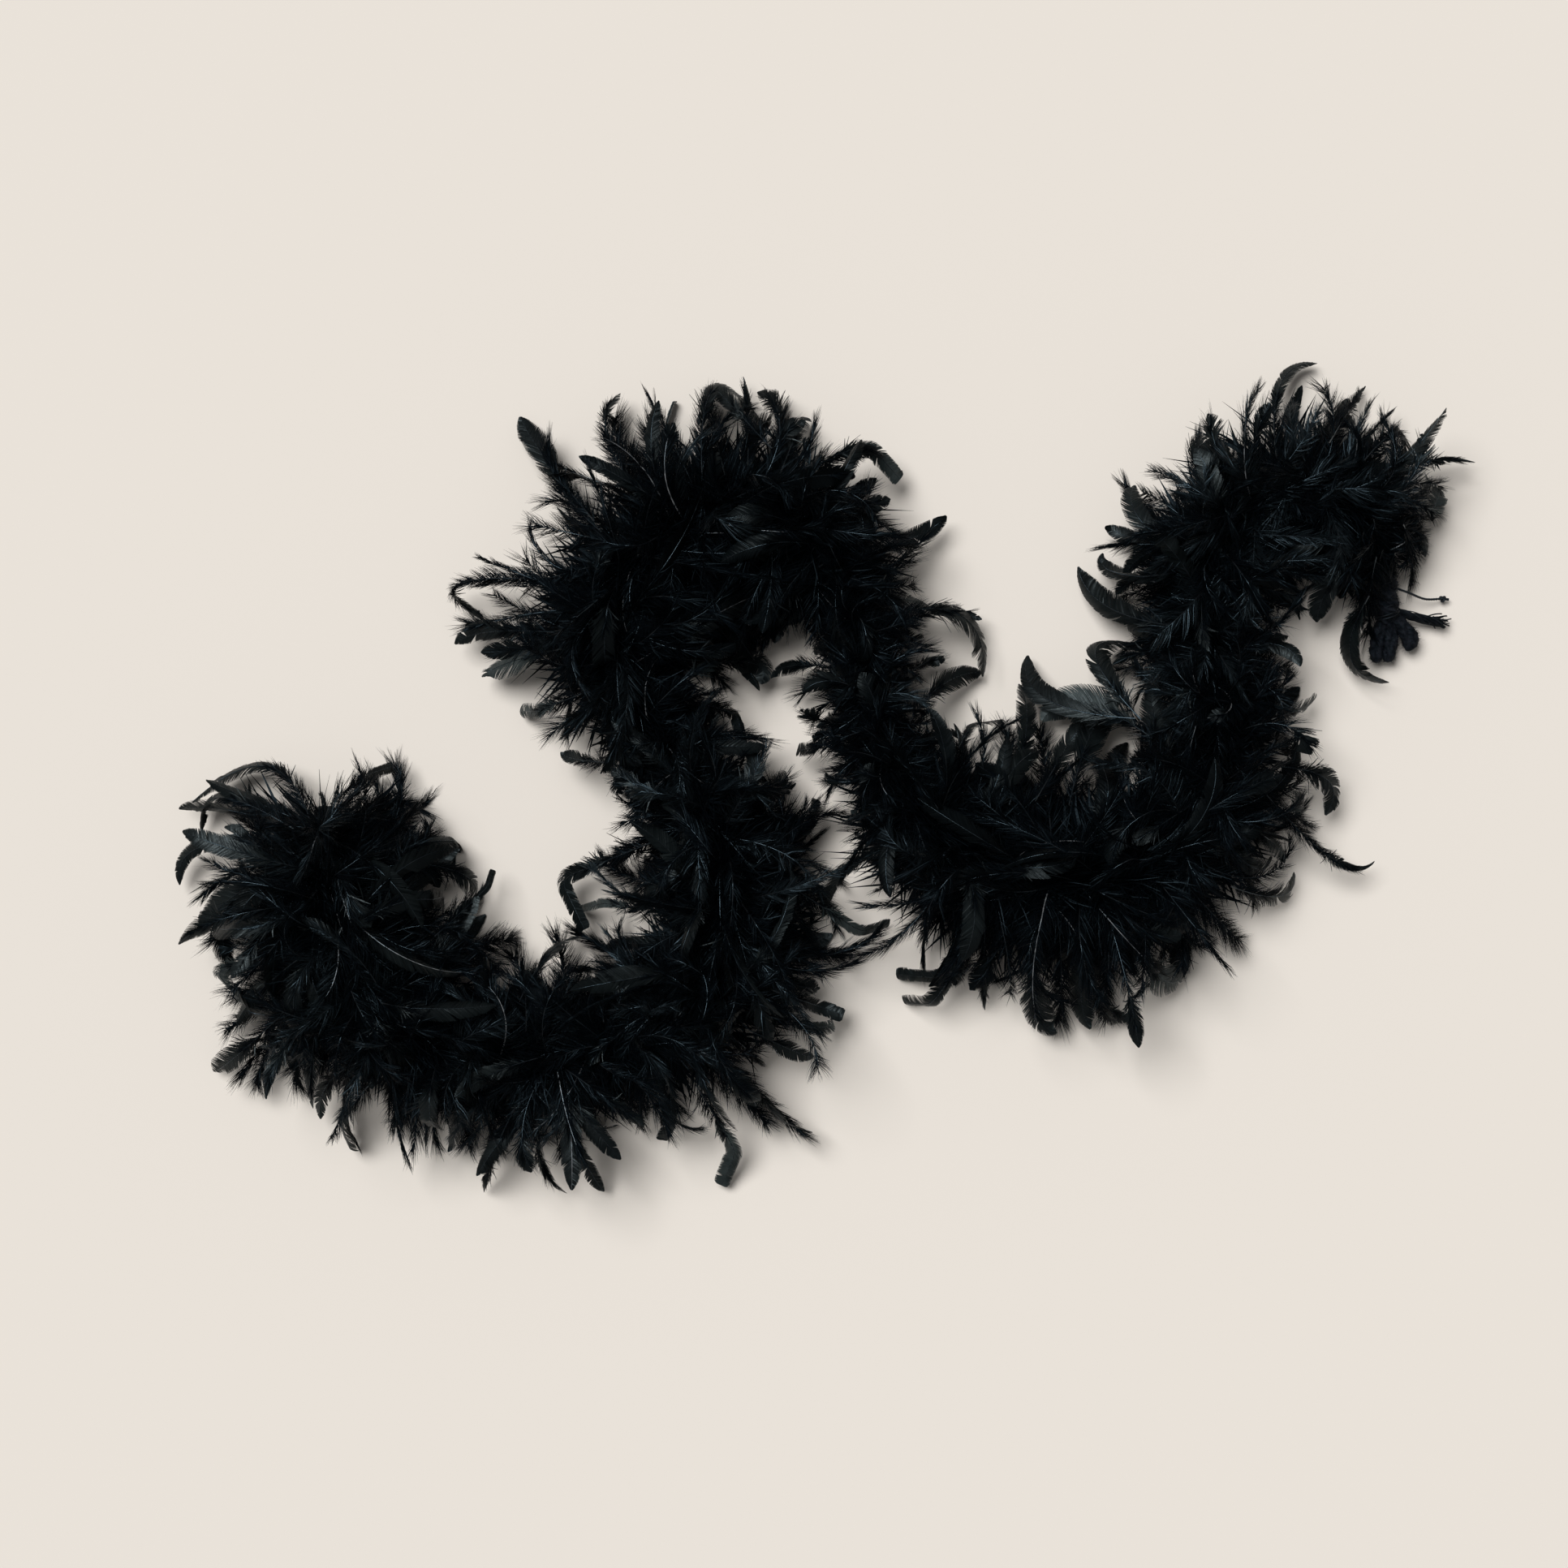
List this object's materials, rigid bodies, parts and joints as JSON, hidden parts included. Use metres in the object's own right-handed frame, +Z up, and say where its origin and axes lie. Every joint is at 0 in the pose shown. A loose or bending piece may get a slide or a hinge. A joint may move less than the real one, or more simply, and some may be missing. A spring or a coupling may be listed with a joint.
{
  "type": "feather boa",
  "caption": "Black feather boa laid in loose bends, feathers sewn in whorls along a core cord, one end whipped and frayed.",
  "frame": {"origin": "middle of the boa's outline as it lies, at the level of the table", "axes": "+Z up from the table; +X along the longer side of the outline, towards the bare end; +Y towards the top of the arch"},
  "size_m": [0.9402, 0.6043, 0.0957],
  "materials": {
    "down": "matt fluffy down, slightly glossy along the barbs",
    "vane": "satin with fine slanting barb lines",
    "cord": "matt twisted strands",
    "thread": "matt wound thread"
  },
  "bodies": {
    "left_end": {"core_cord_1": "cord", "thread_binding_1": "thread", "feather_whorl_01": "down", "feather_whorl_02": "down", "feather_whorl_03": "down", "feather_whorl_04": "down", "long_feather_left": "vane", "start_knot": "cord"},
    "left_strand": {"core_cord_2": "cord", "thread_binding_2": "thread", "feather_whorl_05": "down", "feather_whorl_06": "down", "feather_whorl_07": "down", "feather_whorl_08": "down", "feather_whorl_09": "down", "feather_whorl_10": "down", "long_feather_lower_left": "vane", "long_feather_lower": "vane"},
    "arch": {"core_cord_3": "cord", "thread_binding_3": "thread", "feather_whorl_11": "down", "feather_whorl_12": "down", "feather_whorl_13": "down", "feather_whorl_14": "down", "feather_whorl_15": "down", "feather_whorl_16": "down", "feather_whorl_17": "down", "long_feather_arch": "vane", "long_feather_limb": "vane"},
    "right_loop": {"core_cord_4": "cord", "thread_binding_4": "thread", "feather_whorl_18": "down", "feather_whorl_19": "down", "feather_whorl_20": "down", "feather_whorl_21": "down", "feather_whorl_22": "down", "feather_whorl_23": "down", "feather_whorl_24": "down", "long_feather_lower_right": "vane"},
    "hook": {"core_cord_5": "cord", "thread_binding_5": "thread", "feather_whorl_25": "down", "feather_whorl_26": "down", "feather_whorl_27": "down", "feather_whorl_28": "down", "long_feather_top": "vane"},
    "bare_end": {"core_cord_6": "cord", "thread_binding_6": "thread", "feather_whorl_29": "down", "long_feather_right": "vane", "end_whipping": "thread", "frayed_cord_end": "cord", "thread_tail": "thread", "thread_tail_knot": "thread", "end_tab_1": "cord", "end_tab_2": "cord", "end_tab_3": "cord"}
  },
  "joints": [
    {"name": "left_end_bend", "type": "hinge", "parent": "left_strand", "child": "left_end", "pos_m": [-0.255, -0.201, 0.044], "axis": [0, 0, 1], "range_deg": [-15, 35]},
    {"name": "left_strand_bend", "type": "hinge", "parent": "arch", "child": "left_strand", "pos_m": [-0.111, 0.013, 0.044], "axis": [0, 0, 1], "range_deg": [-30, 4]},
    {"name": "right_limb_bend", "type": "hinge", "parent": "arch", "child": "right_loop", "pos_m": [0.03, 0.056, 0.044], "axis": [0, 0, 1], "range_deg": [-4, 30]},
    {"name": "hook_bend", "type": "hinge", "parent": "right_loop", "child": "hook", "pos_m": [0.28, 0.074, 0.044], "axis": [0, 0, 1], "range_deg": [-30, 25]},
    {"name": "bare_end_bend", "type": "hinge", "parent": "hook", "child": "bare_end", "pos_m": [0.378, 0.19, 0.04], "axis": [0, 0, 1], "range_deg": [-12, 30]}
  ]
}
